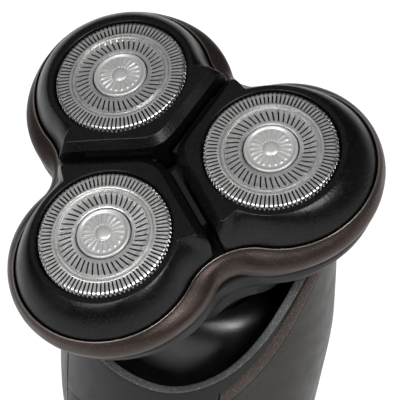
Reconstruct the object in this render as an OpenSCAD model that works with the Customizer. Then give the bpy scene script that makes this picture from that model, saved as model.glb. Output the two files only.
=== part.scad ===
// Rotary electric shaver: three floating cutting heads in a trefoil shaving head
// on a two-way tilting neck, over a free-standing handle.
// Z is up and the front of the handle faces -Y. The origin is the middle of the base.

/* [Handle] */
// Height of the neck's tilt centre above the table
pivot_h = 120; // [118:0.5:122]
// Half width of the handle at its shoulder
body_half_x = 25.5; // [25:0.1:26.5]
// Half depth of the handle at its shoulder
body_half_y = 20; // [19.6:0.1:21]
// Half width of the handle at the grip
grip_half_x = 18; // [17.8:0.1:19.5]
// Half depth of the handle at the grip
grip_half_y = 15.2; // [15:0.1:16.5]
// Wall thickness of the handle's shells
wall = 1.6; // [1.5:0.1:1.8]

/* [Shaving head] */
// Forward lean of the shaving head at rest, in degrees
head_tilt = 17; // [16:0.5:18]
// Height of the shaving plane above the tilt centre
disc_h = 30; // [30:0.1:30.6]
// Outward lean of each shaving disc, in degrees
disc_lean = 4.1; // [3.6:0.1:4.6]
// Radius of each guard
guard_r = 11; // [10.9:0.05:11.05]
// Half width of the gap between two petals
gap_half = 0.9; // [0.8:0.05:1]

/* [Guards] */
// Slots in the inner ring of a guard
inner_slots = 45; // [30:1:48]
// Slots in the outer ring of a guard
outer_slots = 90; // [60:1:92]
// Blades on a cutter
blades = 15; // [9:1:18]

/* [Drive] */
// Module of the gears
gear_module = 0.5; // [0.5:0.5:0.5]
// Teeth on the central gear
sun_teeth = 44; // [44:1:44]
// Teeth on each spindle gear
spindle_teeth = 26; // [26:1:26]

/* [Hidden] */

// Colours
shell_grey = [0.27, 0.26, 0.25];
bronze = [0.34, 0.27, 0.24];
panel_black = [0.10, 0.10, 0.11];
petal_black = [0.09, 0.09, 0.09];
steel = [0.70, 0.70, 0.70];
bright = [0.82, 0.82, 0.83];
brass = [0.75, 0.60, 0.30];
nylon = [0.85, 0.85, 0.82];
rubber = [0.06, 0.06, 0.06];
board_green = [0.10, 0.30, 0.16];

// Shaving head layout: the lobes point to the front, the right and the left
lobe_angles = [270, 30, 150];
disc_r = gear_module * (sun_teeth + spindle_teeth) / 2;
// A trefoil is [distance of its lobe circles, their radius, radius at its necks]
// Each band ring is [height, trefoil, share of the dip at the necks]
band_rings = [
    [20.1, [17.3, 17.6, 20.2], 1],
    [21.0, [17.3, 17.8, 20.6], 0.7],
    [22.2, [17.3, 17.7, 20.6], 0.3],
    [23.2, [18.2, 16.6, 19.9], 0],
    [24.1, [19.0, 15.4, 19.0], 0],
];
band_inner = [19.0, 15.15, 18.75];
petal_outline = [19.0, 14.9, 18.5];
slope_turn = 62;
chamber_outline = [17.3, 17.6, 20.8];
neck_dip_h = 1.6;
band_top = 24.1;
band_bottom = 20.1;
chamber_top = 20;
chamber_floor = 16.7;
floor_t = 0.8;
housing_top = 16.6;
underside_slope = 28;
underside_lift = 1.2;
neck_r = 11;
neck_bore_r = 9.7;
skin = 1.1;
around = 60;

// Petals
petal_drop = 0.25;
petal_bore_r = guard_r + 0.3;
petal_tube_r = petal_bore_r + 0.75;
petal_tube_z = -5.7;
petal_flat_r = 12.3;
trunnion_z = 25.4;
trunnion_r = 0.9;
plate_z = 20.2;
plate_t = 1.1;

// Drive
running = 0.05;
shaft_r = 1.1;
ball_r = 2.2;
sleeve_r = 3.2;
sleeve_bore_r = 2.3;
gear_z = 14.8;
gear_t = 1.6;
post_r = 1.7;
post_top = 24;
driver_r = 3.5;
cutter_plug_r = 1.95;

// Neck and gimbal
post_out_r = 6;
post_bore_r = 4.6;
ring_in_r = 7.5;
ring_out_r = 9.2;
ring_half_h = 1.6;
gimbal_pin_r = 1;

// Handle sections: [height, half width]
x_stations = [
    [0, grip_half_x - 1.2], [5, grip_half_x + 0.4], [28, grip_half_x + 1.6],
    [60, grip_half_x + 2.4], [84, grip_half_x + 5.7], [103, body_half_x - 0.4],
    [111, body_half_x], [140, body_half_x],
];
y_stations = [
    [0, grip_half_y - 1], [5, grip_half_y + 0.4], [28, grip_half_y + 1.4],
    [60, grip_half_y + 1.6], [84, grip_half_y + 3.4], [103, body_half_y - 0.3],
    [111, body_half_y], [140, body_half_y],
];
// The handle's middle lies forward of the neck's at the grip: [height, y]
centre_stations = [
    [0, 0], [28, -2.2], [60, -4.4], [80, -4], [88, -3.1], [97, -1.6], [105, -0.3], [111, 0], [140, 0],
];
// Half width of the black front panel
panel_stations = [[0, 12], [55, 12], [88, 15.5], [140, 15.5]];
base_top = 8;
around_back = 40;
seam_centre = pivot_h - 28;
seam_drop = 3.4;
rim_lo = -16.7;
rim_hi = 12.5;
rim_slope = 1.65;
rim_start = -18;
joint_gap = 0.12;
trim_inset = 1.05;
scoop_hole_r = 12.2;
scoop_top = -5;

// Motor, battery and board
motor_r = 9;
motor_bottom = 68;
motor_top = 96;
battery_r = 7;
board_y = -15.5;
board_t = 1.1;
button_z = 74;
button_y = -18.9;
button_r = 6;
base_screw_xy = [[-12.4, -3], [12.4, -3]];
socket_y = 6;
socket_w = 9.6;
socket_d = 6;
eps = 0.01;

// ---- Curves --------------------------------------------------------------

function mix(a, b, t) = a + (b - a) * t;
function smooth(a, b, x) = let (t = min(1, max(0, (x - a) / (b - a)))) t * t * (3 - 2 * t);
function soft_max(a, b, k) = (a + b + sqrt((a - b) * (a - b) + k * k)) / 2;
function soft_min(a, b, k) = (a + b - sqrt((a - b) * (a - b) + k * k)) / 2;

// A smooth curve through a list of [position, value] stations
function segment(tab, z, i = 0) =
    i >= len(tab) - 2 || z < tab[i + 1][0] ? i : segment(tab, z, i + 1);
function slope(tab, i) =
    i == 0 || i == len(tab) - 1 ? 0
    : (tab[i + 1][1] - tab[i - 1][1]) / (tab[i + 1][0] - tab[i - 1][0]);
function along(tab, z) =
    let (
        i = segment(tab, z),
        h = tab[i + 1][0] - tab[i][0],
        t = (z - tab[i][0]) / h
    )
    tab[i][1] * (1 + t * t * (2 * t - 3)) + tab[i + 1][1] * t * t * (3 - 2 * t)
    + h * t * (1 - t) * (slope(tab, i) * (1 - t) - slope(tab, i + 1) * t);

// ---- Handle surface ------------------------------------------------------

// u goes round the handle in degrees from the front, towards +X
function half_x(z) = along(x_stations, z);
function half_y(z) = along(y_stations, z);
function skin_pt(u, z, inset = 0) =
    [(half_x(z) - inset) * sin(u), along(centre_stations, z) - (half_y(z) - inset) * cos(u), z];
function panel_edge(z) = asin(along(panel_stations, z) / half_x(z));
// Height of the scoop's rim where the handle's skin is at y
function rim_at(y) =
    pivot_h + soft_min(soft_max(rim_start + rim_slope * (y + body_half_y), rim_lo - 0.5, 2), rim_hi, 5);
function rim_z(u) = rim_at(-body_half_y * cos(u));
// The bronze trim runs lower than the rim beside the front panel
function trim_drop(u) = 3.3 * pow(max(0, (88 - abs((u + 540) % 360 - 180)) / 48), 1.15);
function trim_z(u) = rim_z(u) - trim_drop(u);
function shell_top(u) = rim_at(-body_half_y * cos(u) - 1.3) - 1.4 - trim_drop(u);
// Direction of sample s, from 0 to 1, round the back at height z
function back_u(s, z) = let (e = panel_edge(z) + 0.8) mix(e, 360 - e, s);
function seam_z(u) =
    seam_centre - seam_drop * pow(sin(u) / sin(panel_edge(seam_centre)), 2);

// ---- Meshes --------------------------------------------------------------

// A closed tube-like skin: rings of points round an axis, joined in a loop
module ring_solid(rings) {
    n = len(rings[0]);
    m = len(rings);
    polyhedron(
        points = [for (ring = rings) each ring],
        faces = [
            for (i = [0 : m - 1], j = [0 : n - 1])
                let (a = i * n, b = ((i + 1) % m) * n, k = (j + 1) % n)
                    each [[a + j, b + k, a + k], [a + j, b + j, b + k]]
        ],
        convexity = 8
    );
}

// A solid between stacked outlines, closed at both ends by fans of triangles
module stack_solid(rings) {
    n = len(rings[0]);
    m = len(rings);
    function middle(ring) = [for (p = ring) 1] * ring / n;
    polyhedron(
        points = concat([for (ring = rings) each ring], [middle(rings[0]), middle(rings[m - 1])]),
        faces = concat(
            [
                for (i = [0 : m - 2], j = [0 : n - 1])
                    let (a = i * n, b = a + n, k = (j + 1) % n)
                        each [[a + j, b + k, a + k], [a + j, b + j, b + k]]
            ],
            [for (j = [0 : n - 1]) [m * n, j, (j + 1) % n]],
            [for (j = [0 : n - 1]) let (a = (m - 1) * n) [m * n + 1, a + (j + 1) % n, a + j]]
        ),
        convexity = 4
    );
}

// A curved sheet with thickness: outer[i][j] and inner[i][j] are its two faces
module sheet_solid(outer, inner) {
    m = len(outer);
    n = len(outer[0]);
    c = m * n;
    polyhedron(
        points = concat([for (row = outer) each row], [for (row = inner) each row]),
        faces = concat(
            [
                for (i = [0 : m - 2], j = [0 : n - 2])
                    let (a = i * n + j, b = a + n)
                        each [
                            [a, b + 1, a + 1], [a, b, b + 1],
                            [c + a, c + a + 1, c + b + 1], [c + a, c + b + 1, c + b]
                        ]
            ],
            [for (j = [0 : n - 2]) each [[j, j + 1, c + j + 1], [j, c + j + 1, c + j]]],
            [
                for (j = [0 : n - 2])
                    let (a = (m - 1) * n + j)
                        each [[a, c + a + 1, a + 1], [a, c + a, c + a + 1]]
            ],
            [
                for (i = [0 : m - 2])
                    let (a = i * n, b = a + n)
                        each [[a, c + b, b], [a, c + a, c + b]]
            ],
            [
                for (i = [0 : m - 2])
                    let (a = i * n + n - 1, b = a + n)
                        each [[a, b, c + b], [a, c + b, c + a]]
            ]
        ),
        convexity = 6
    );
}

// ---- Frames --------------------------------------------------------------

module in_head() translate([0, 0, pivot_h]) rotate([head_tilt, 0, 0]) children();
// The petal frame: the head's axis is Z and the lobe lies along +X
module at_lobe(k) in_head() rotate([0, 0, lobe_angles[k]]) children();
// The disc frame: Z is the disc's own axis and Z = 0 is its shaving face
module at_disc(k) at_lobe(k) translate([disc_r, 0, disc_h]) rotate([0, disc_lean, 0]) children();

// ---- Trefoil outlines ----------------------------------------------------

function fillet_r(o) =
    (o[2] * o[2] + o[0] * o[0] - o[0] * o[2] - o[1] * o[1]) / (2 * o[1] - 2 * o[2] + o[0]);
function fillet_centre(o) = (o[2] + fillet_r(o)) * [cos(60), sin(60)];
// Angle from a lobe's middle at which its circle meets the fillet
function tangent_angle(o) =
    let (
        c = fillet_centre(o),
        v = c - [o[0], 0],
        p = [o[0], 0] + o[1] * v / norm(v)
    )
    atan2(p[1], p[0]);
function trefoil_r(o, a) =
    let (
        w = (a - lobe_angles[1] + 360) % 120,
        f = w > 60 ? 120 - w : w,
        rf = fillet_r(o),
        d = o[2] + rf
    )
    f < tangent_angle(o)
        ? o[0] * cos(f) + sqrt(o[1] * o[1] - pow(o[0] * sin(f), 2))
        : d * cos(60 - f) - sqrt(rf * rf - pow(d * sin(60 - f), 2));
function polar(r, a, z) = [r * cos(a), r * sin(a), z];
// How far the head's outline dips at direction a: nothing on the lobes, most at the necks
function neck_dip(a) =
    let (w = (a - lobe_angles[1] + 360) % 120) neck_dip_h * smooth(34, 60, min(w, 120 - w));
function trefoil_ring(o, z, n, share = 0) =
    [for (i = [0 : n - 1]) let (a = 360 * i / n) polar(trefoil_r(o, a), a, z - share * neck_dip(a))];

module trefoil_2d(o) polygon([for (p = trefoil_ring(o, 0, 96)) [p[0], p[1]]]);

// ---- Handle --------------------------------------------------------------

module shell_sheet(bottom, t, nu, nv) {
    function grid(inset) = [
        for (i = [0 : nv])
            [
                for (j = [0 : nu])
                    let (s = j / nu, z = mix(bottom, shell_top(back_u(s, pivot_h)), i / nv))
                        skin_pt(back_u(s, z), z, inset)
            ]
    ];
    sheet_solid(grid(0), grid(t));
}

module rear_shell() color(shell_grey) shell_sheet(base_top, wall, around_back, 14);

// The curved black front, from the base up to the scoop collar
module panel_sheet(t, nu, nv) {
    function grid(inset) = [
        for (i = [0 : nv])
            [
                for (j = [0 : nu])
                    let (
                        s = 2 * j / nu - 1,
                        z = mix(base_top, seam_z(s * panel_edge(seam_centre)) - joint_gap, i / nv),
                        e = panel_edge(z) - joint_gap / 0.35
                    )
                        skin_pt(s * e, z, inset)
            ]
    ];
    sheet_solid(grid(0), grid(t));
}

module along_y(x, z, y0, y1, r) {
    translate([x, y0, z]) rotate([-90, 0, 0]) cylinder(r = r, h = y1 - y0, $fn = 48);
}

module window_prism(gap) {
    translate([-5 + gap, -25, 34 + gap]) cube([10 - 2 * gap, 12, 24 - 2 * gap]);
}

module front_panel() color(panel_black) difference() {
    panel_sheet(wall, 14, 18);
    along_y(0, button_z, -25, -12, button_r + 0.25);
    window_prism(0);
}

module display_window() color([0.05, 0.05, 0.06]) intersection() {
    panel_sheet(1.2, 14, 18);
    window_prism(0.1);
}

// The bevelled bronze strip along the top edge of the rear shell
module bronze_trim() {
    function row(inset, f) = [
        for (j = [0 : around_back])
            let (
                s = j / around_back,
                u = back_u(s, pivot_h),
                z = mix(shell_top(u) + 0.05, trim_z(u), f)
            )
                skin_pt(back_u(s, z), z, inset)
    ];
    color(bronze) sheet_solid(
        [row(0, 0), row(0.25, 0.5), row(trim_inset - 0.35, 1)],
        [row(wall, 0), row(wall, 0.5), row(wall - 0.05, 1)]
    );
}

// The black scoop: outer face in front, lip all round, trough, and dome round the neck
function scoop_rings() =
    let (
        n_front = 17,
        n_back = 43,
        front = [for (i = [0 : n_front - 1]) 2 * i / (n_front - 1) - 1],
        back = [for (i = [0 : n_back - 1]) i / (n_back - 1)],
        clear = 0.4,
        // Direction of sample i where the skin is at height z
        dir = function(i, z)
            let (e = panel_edge(z))
                i < n_front ? front[i] * (e - clear) : mix(e + clear, 360 - e - clear, back[i - n_front]),
        hole = function(u, z) [scoop_hole_r * sin(u), -scoop_hole_r * cos(u), pivot_h + z],
        dome = pivot_h + scoop_top,
        column = function(i)
            let (
                u = dir(i, pivot_h),
                rz = rim_z(u),
                is_front = i < n_front,
                // Inset of the wall beside the shell, and of the wall that shows above the trim
                o = is_front ? 0 : wall + 0.12,
                t = is_front ? 0 : 0.9 * min(1, max(0, (abs((u + 540) % 360 - 180) - 40) / 35)),
                low = is_front ? seam_z(u * panel_edge(seam_centre) / panel_edge(pivot_h)) : rz - 8,
                ledge = is_front ? mix(low, rz, 0.5) : trim_z(u) + 0.1,
                tz = min(pivot_h - 12 - 7.5 * cos(u), rz - 3.5),
                ul = dir(i, low),
                ur = dir(i, rz),
                blend = function(f, z)
                    let (p = skin_pt(ur, z, t + 2.6), q = hole(ur, 0))
                        [mix(p[0], q[0], f), mix(p[1], q[1], f), z]
            )
                [
                    skin_pt(ul, low, o), skin_pt(dir(i, ledge), ledge, o),
                    skin_pt(dir(i, ledge), ledge + 0.12, t), skin_pt(ur, rz, t),
                    skin_pt(ur, rz + 0.2, t + 0.3), skin_pt(ur, rz + 0.2, t + 1.4),
                    skin_pt(ur, rz - 0.1, t + 1.7),
                    blend(-0.03, mix(rz, tz, 0.45)), blend(0.04, mix(rz, tz, 0.82)),
                    blend(0.13, tz), blend(0.25, mix(tz, dome, 0.08)),
                    blend(0.36, mix(tz, dome, 0.33)), blend(0.48, mix(tz, dome, 0.62)),
                    blend(0.62, mix(tz, dome, 0.82)), blend(0.8, mix(tz, dome, 0.94)),
                    hole(ur, scoop_top), hole(ur, scoop_top - 1.6),
                    blend(0.62, mix(tz, dome, 0.82) - 1.8), blend(0.4, tz - 1.3), blend(-0.1, tz - 1.3),
                    skin_pt(ul, low, o + 1.2)
                ],
        columns = [for (i = [0 : n_front + n_back - 1]) column(i)]
    )
    [for (k = [0 : len(columns[0]) - 1]) [for (c = columns) c[k]]];

module scoop_collar() color(petal_black) ring_solid(scoop_rings());

module base_cap() {
    zs = [0, 0.5, 1.6, 3.4, 5.6, base_top - joint_gap];
    tuck = [2.2, 1.2, 0.5, 0.15, 0, 0];
    n = 48;
    function ring(z, inset) = [for (i = [0 : n - 1]) skin_pt(-360 * i / n, z, inset)];
    color(shell_grey) difference() {
        stack_solid(concat(
            [for (i = [0 : len(zs) - 1]) ring(zs[i], tuck[i])],
            [ring(base_top - joint_gap, 2), ring(4.5, 2.2), ring(1.8, 4.2)]
        ));
        socket_block(0.1, -1, 12);
        for (p = base_screw_xy) translate([p[0], p[1], -1]) {
            cylinder(r = 1.1, h = 5, $fn = 32);
            cylinder(r = 2, h = 2, $fn = 32);
        }
    }
}

module base_screws() color(steel) for (p = base_screw_xy) translate([p[0], p[1], 0.2]) {
    difference() {
        cylinder(r = 1.85, h = 0.75, $fn = 32);
        translate([-1.2, -0.2, -eps]) cube([2.4, 0.4, 0.35]);
        translate([-0.2, -1.2, -eps]) cube([0.4, 2.4, 0.35]);
    }
    translate([0, 0, 0.7]) cylinder(r = 1, h = 13, $fn = 32);
}

// The socket's outline: a rectangle with half-round ends
module socket_block(grow, z0, z1) {
    r = socket_d / 2 + 0.9 + grow;
    x = (socket_w - socket_d) / 2;
    translate([0, socket_y, z0]) {
        for (s = [-1, 1]) translate([s * x, 0, 0]) cylinder(r = r, h = z1 - z0, $fn = 48);
        translate([-x, -r, 0]) cube([2 * x, 2 * r, z1 - z0]);
    }
}

module charging_socket() color(panel_black) difference() {
    socket_block(0, 0.15, 11.4);
    x = (socket_w - socket_d) / 2;
    translate([0, socket_y, -1]) {
        for (s = [-1, 1]) translate([s * x, 0, 0]) cylinder(r = socket_d / 2, h = 10.2, $fn = 48);
        translate([-x, -socket_d / 2, 0]) cube([2 * x, socket_d, 10.2]);
        for (s = [-1, 1]) translate([s * 2.4, 0, 0]) cylinder(r = 0.8, h = 14, $fn = 32);
    }
}

module socket_pins() color(brass)
    for (s = [-1, 1]) translate([s * 2.4, socket_y, 4.8]) cylinder(r = 0.75, h = 7.2, $fn = 32);

// The inner frame that carries the battery, the board and the motor
module chassis() color([0.2, 0.2, 0.2]) {
    difference() {
        union() {
            translate([-8, 6.4, 12.3]) cube([16, 1.4, 51]);
            translate([-12.2, -10.4, 62.8]) cube([24.4, 16.2, 2.6]);
            translate([-5, board_y, 62.8]) cube([10, 6, 2.6]);
            translate([-13.2, -7.5, 12.3]) cube([26.4, 14.8, 2]);
            for (s = [-1, 1]) translate([s * 11.2 - 1, -4, 62.8]) cube([2, 8, motor_top - 62.8]);
        }
        translate([0, 0, 60]) cylinder(r = 4, h = 8, $fn = 48);
        for (p = base_screw_xy) translate([p[0], p[1], 11]) cylinder(r = 1.03, h = 6, $fn = 32);
    }
}

module battery() color([0.25, 0.35, 0.45]) translate([0, -0.8, 15]) cylinder(r = battery_r, h = 47, $fn = 64);

module battery_tabs() color(steel) for (z = [14.5, 62.1])
    translate([-2, -7, z]) cube([4, 11, 0.4]);

module circuit_board() color(board_green) difference() {
    translate([-8.2, board_y - board_t, 46]) cube([16.4, board_t, 38]);
    for (s = [-1, 1]) along_y(s * 6, 82, board_y - 2, board_y + 1, 0.9);
}

module tact_switch() color([0.3, 0.3, 0.3]) {
    translate([-3, board_y - board_t - 1.1, button_z - 3]) cube([6, 1.1, 6]);
    along_y(0, button_z, board_y - board_t - 1.6, board_y - board_t - 0.5, 1.6);
}

module power_button() color([0.32, 0.30, 0.29]) translate([0, button_y, button_z]) rotate([90, 0, 0])
    rotate_extrude($fn = 64) polygon([
        [0, 0], [button_r, 0], [button_r, 2.7], [button_r - 0.5, 3.15], [button_r - 2, 3.4],
        [button_r - 3.5, 3.3], [0, 3.1]
    ]);

module button_seal() color(rubber) difference() {
    along_y(0, button_z, button_y + 0.2, button_y + 1, 7.3);
    along_y(0, button_z, button_y - 1, button_y + 2, button_r + 0.1);
}

module motor() color(steel) difference() {
    union() {
        translate([0, 0, motor_bottom]) cylinder(r = motor_r, h = motor_top - motor_bottom, $fn = 72);
        translate([0, 0, motor_top - eps]) cylinder(r = 3, h = 1.8, $fn = 48);
    }
    translate([0, 0, motor_bottom + 1]) cylinder(r = motor_r - 1, h = motor_top - motor_bottom - 2, $fn = 72);
    translate([0, 0, motor_bottom + 0.5]) cylinder(r = shaft_r + running, h = 40, $fn = 48);
}

// The wound core that turns inside the motor
module rotor_core() color([0.6, 0.35, 0.2]) translate([0, 0, motor_bottom + 3]) difference() {
    cylinder(r = motor_r - 1.6, h = motor_top - motor_bottom - 6, $fn = 72);
    translate([0, 0, -1]) cylinder(r = shaft_r, h = 40, $fn = 48);
}

module motor_bracket() color(steel) difference() {
    union() {
        translate([0, 0, motor_top + 0.05]) cylinder(r = 13.2, h = 1.9, $fn = 72);
        translate([-20.5, -4, motor_top + 0.05]) cube([41, 8, 1.9]);
    }
    translate([0, 0, motor_top - 1]) cylinder(r = 3.1, h = 5, $fn = 48);
    for (s = [-1, 1]) translate([0, s * 6.3, motor_top - 1]) cylinder(r = 0.95, h = 5, $fn = 32);
}

module motor_screws() color(steel) for (s = [-1, 1]) translate([0, s * 6.3, motor_top + 2]) {
    cylinder(r = 1.5, h = 0.9, $fn = 32);
    translate([0, 0, -1.95]) cylinder(r = 0.85, h = 2, $fn = 32);
}

// The driven shaft, with the ball on which the drive sleeve turns and tilts
module motor_shaft() color(bright) difference() {
    union() {
        translate([0, 0, motor_bottom + 0.6]) cylinder(r = shaft_r, h = pivot_h - motor_bottom - 0.6, $fn = 48);
        translate([0, 0, pivot_h]) sphere(r = ball_r, $fn = 64);
    }
    translate([-3, 0, pivot_h]) rotate([0, 90, 0]) cylinder(r = 0.52, h = 6, $fn = 32);
}

module cross_pin() color(steel)
    translate([-2.9, 0, pivot_h]) rotate([0, 90, 0]) cylinder(r = 0.5, h = 5.8, $fn = 32);

module neck_post() color([0.45, 0.45, 0.45]) difference() {
    union() {
        translate([0, 0, motor_top + 3]) cylinder(r = 11.6, h = 1.8, $fn = 72);
        translate([0, 0, motor_top + 3]) cylinder(r = post_out_r, h = pivot_h + 2 - motor_top - 3, $fn = 64);
    }
    translate([0, 0, motor_top + 2]) cylinder(r = post_bore_r, h = 40, $fn = 64);
    translate([-10, 0, pivot_h]) rotate([0, 90, 0])
        cylinder(r = gimbal_pin_r + running, h = 20, $fn = 48);
}

module neck_seal() color(rubber) translate([0, 0, pivot_h - 9.6]) difference() {
    cylinder(r = 11.9, h = 1.5, $fn = 72);
    translate([0, 0, -1]) cylinder(r = post_out_r + 0.1, h = 4, $fn = 64);
}

// ---- Gimbal and shaving head ---------------------------------------------

module pin_x(r, x0, x1) translate([x0, 0, 0]) rotate([0, 90, 0]) cylinder(r = r, h = x1 - x0, $fn = 48);

module gimbal_ring() color(steel) in_head() difference() {
    translate([0, 0, -ring_half_h]) cylinder(r = ring_out_r, h = 2 * ring_half_h, $fn = 72);
    translate([0, 0, -5]) cylinder(r = ring_in_r, h = 10, $fn = 72);
    for (a = [0, 90]) rotate([0, 0, a]) pin_x(gimbal_pin_r + 0.02, -12, 12);
}

module gimbal_pins() color(bright) in_head() {
    for (a = [0, 180]) rotate([0, 0, a]) pin_x(gimbal_pin_r, 4.9, 9);
    for (a = [90, 270]) rotate([0, 0, a]) pin_x(gimbal_pin_r, 7.7, 10.8);
}

// How far the bowl is tucked in above the handle's rim: least over the lobes' gears
function bowl_tuck(a) =
    let (w = (a - lobe_angles[1] + 360) % 120) mix(2.6, 5.2, smooth(2, 20, min(w, 120 - w)));
// Outline of the head's bowl at height z: a trefoil that a shallow cone cuts from below
function bowl_r(a, z, inset) =
    let (
        t = trefoil_r(chamber_outline, a) - inset,
        c = (z + underside_lift) / tan(underside_slope) - inset / sin(underside_slope)
            - bowl_tuck(a) * (smooth(10.8, 13.6, z) - smooth(15.5, 18.5, z)),
        p = 14
    )
    t * pow(1 + pow(t / max(c, 1), p), -1 / p);
// share is how much of the dip at the necks the ring follows
function bowl_ring(z, inset, share = 0) =
    [
        for (i = [0 : around - 1])
            let (a = 360 * i / around, h = z - share * neck_dip(a))
                polar(bowl_r(a, h, inset), a, h)
    ];
function circle_ring(r, z) = [for (i = [0 : around - 1]) polar(r, 360 * i / around, z)];

module drive_housing() color([0.16, 0.17, 0.17]) in_head() ring_solid([
    circle_ring(neck_r + 0.06, 4.9), circle_ring(neck_r + 0.5, 4.9),
    bowl_ring(6.4, 0.1), bowl_ring(9, 0), bowl_ring(12, 0), bowl_ring(13.4, 0), bowl_ring(15, 0),
    bowl_ring(housing_top, 0), bowl_ring(housing_top, skin), bowl_ring(13.8, skin),
    bowl_ring(10.8, skin), circle_ring(neck_r + 1.4, 7), circle_ring(neck_r + 0.06, 7)
]);

// The neck's skirt with the plate and arms that carry the bush and the three spindles
module gear_carrier() color([0.2, 0.21, 0.21]) in_head() difference() {
    union() {
        translate([0, 0, -2.6]) cylinder(r = neck_r, h = 13.4, $fn = 72);
        for (a = lobe_angles) rotate([0, 0, a]) {
            translate([6, -2, 10.7]) cube([disc_r - 6, 4, 1.5]);
            translate([disc_r, 0, 10.7]) cylinder(r = 2, h = 3.7, $fn = 48);
        }
    }
    translate([0, 0, -4]) cylinder(r = neck_bore_r, h = 12.2, $fn = 72);
    translate([0, 0, 7]) cylinder(r = 5, h = 6, $fn = 64);
    translate([0, 0, 9.8]) cylinder(r = 6.1, h = 4, $fn = 64);
    rotate([0, 0, 90]) pin_x(gimbal_pin_r + running, -12, 12);
    for (a = lobe_angles) rotate([0, 0, a]) translate([disc_r, 0, 12.4])
        cylinder(r = 1 + running, h = 3, $fn = 48);
}

module drive_bush() color(brass) in_head() translate([0, 0, 8.2]) difference() {
    union() {
        cylinder(r = 4.98, h = 3, $fn = 64);
        translate([0, 0, 1.65]) cylinder(r = 6, h = 1.35, $fn = 64);
    }
    translate([0, 0, -1]) cylinder(r = sleeve_r + running, h = 6, $fn = 64);
}

module drive_sleeve() color(nylon) in_head() difference() {
    translate([0, 0, -1.6]) cylinder(r = sleeve_r, h = gear_z + gear_t + 1.6, $fn = 64);
    translate([0, 0, -2]) cylinder(r = sleeve_bore_r, h = 6.5, $fn = 64);
    translate([-4, -0.75, -3]) cube([8, 1.5, 5.2]);
}

// ---- Gears ---------------------------------------------------------------

pressure = 20;
backlash = 0.1;
function involute(a) = tan(a) * 180 / PI - a;
function half_tooth(n, r) =
    let (pitch = gear_module * n / 2, base = pitch * cos(pressure))
    90 / n - backlash / 4 / pitch * 180 / PI + involute(pressure) - (r > base ? involute(acos(base / r)) : 0);

module gear_2d(n) {
    pitch = gear_module * n / 2;
    radii = [for (f = [-1.2, -0.7, 0, 0.5, 0.95]) pitch + f * gear_module];
    polygon([
        for (i = [0 : n - 1], s = [-1, 1], k = [0 : len(radii) - 1])
            let (
                r = radii[s < 0 ? k : len(radii) - 1 - k],
                a = 360 * i / n + s * half_tooth(n, r)
            )
                [r * cos(a), r * sin(a)]
    ]);
}

module sun_gear() color(nylon) in_head() translate([0, 0, gear_z]) difference() {
    linear_extrude(gear_t) gear_2d(sun_teeth);
    translate([0, 0, -1]) cylinder(r = sleeve_r + 0.02, h = 4, $fn = 64);
}

// Each spindle gear is turned so that a gap faces the sun gear's nearest tooth
module spindle(k) color(nylon) {
    step = 360 / sun_teeth;
    late = lobe_angles[k] % step;
    in_head() rotate([0, 0, lobe_angles[k]]) translate([disc_r, 0, 0]) {
        translate([0, 0, gear_z]) rotate([0, 0, 180 + late * sun_teeth / spindle_teeth - 180 / spindle_teeth])
            linear_extrude(gear_t) gear_2d(spindle_teeth);
        translate([0, 0, 12.5]) cylinder(r = 1, h = 3, $fn = 48);
        translate([0, 0, gear_z]) cylinder(r = post_r, h = post_top - gear_z, $fn = 48);
    }
}

// A spring wound round the spindle, below its driver
module spring(k) color(steel) {
    turns = 4;
    steps = 9;
    sides = 5;
    wire = 0.25;
    coil_r = 2.4;
    z0 = chamber_floor + floor_t + 0.35;
    z1 = 20.9;
    n = turns * steps;
    at_lobe(k) translate([disc_r, 0, 0]) stack_solid([
        for (i = [n : -1 : 0])
            let (a = 360 * i / steps, z = mix(z0, z1, i / n))
                [
                    for (j = [0 : sides - 1])
                        let (b = 360 * j / sides, r = coil_r + wire * cos(b))
                            polar(r, a, z + wire * sin(b))
                ]
    ]);
}

// ---- Hair chamber and lid ------------------------------------------------

module hair_chamber() color([0.17, 0.19, 0.18]) in_head() difference() {
    // [height, share of the dip at the necks]
    inside = [[chamber_floor + floor_t, 0], [chamber_top - 1.2, 0.7], [chamber_top, 1]];
    outside = [[chamber_top, 1], [19, 1], [17.8, 0.3], [chamber_floor, 0]];
    stack_solid(concat(
        [for (s = inside) bowl_ring(s[0], 1.4, s[1])],
        [for (s = outside) bowl_ring(s[0], 0, s[1])]
    ));
    for (a = lobe_angles) rotate([0, 0, a]) translate([disc_r, 0, 10])
        cylinder(r = post_r + running, h = 10, $fn = 48);
}

// Black frame that holds the petals: a plate with three holes, the Y rib and the petals' ears
module lid_frame() color(petal_black) in_head() difference() {
    union() {
        difference() {
            translate([0, 0, plate_z]) linear_extrude(plate_t) trefoil_2d([19.0, 15.05, 18.65]);
            for (a = lobe_angles) rotate([0, 0, a]) translate([disc_r, 0, plate_z - 1])
                cylinder(r = 10.9, h = 4, $fn = 72);
        }
        for (a = lobe_angles) rotate([0, 0, a + 60]) translate([2, -0.45, plate_z + 0.4])
            cube([11.8, 0.9, 6.2]);
        for (a = lobe_angles, s = [-1, 1]) rotate([0, 0, a]) translate([disc_r, s * 12.68, 0])
            translate([-1.6, -0.32, plate_z + 0.4]) cube([3.2, 0.64, 6.1]);
    }
    for (a = lobe_angles) rotate([0, 0, a]) translate([disc_r, -16, trunnion_z]) rotate([-90, 0, 0])
        cylinder(r = trunnion_r + running, h = 32, $fn = 48);
}

module head_band() color(bronze) in_head() {
    n = 96;
    ring_solid(concat(
        [for (b = band_rings) trefoil_ring(b[1], b[0], n, b[2])],
        [trefoil_ring(band_inner, band_top, n), trefoil_ring(band_inner, band_bottom, n, 1)]
    ));
}

// ---- Petals --------------------------------------------------------------

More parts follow.
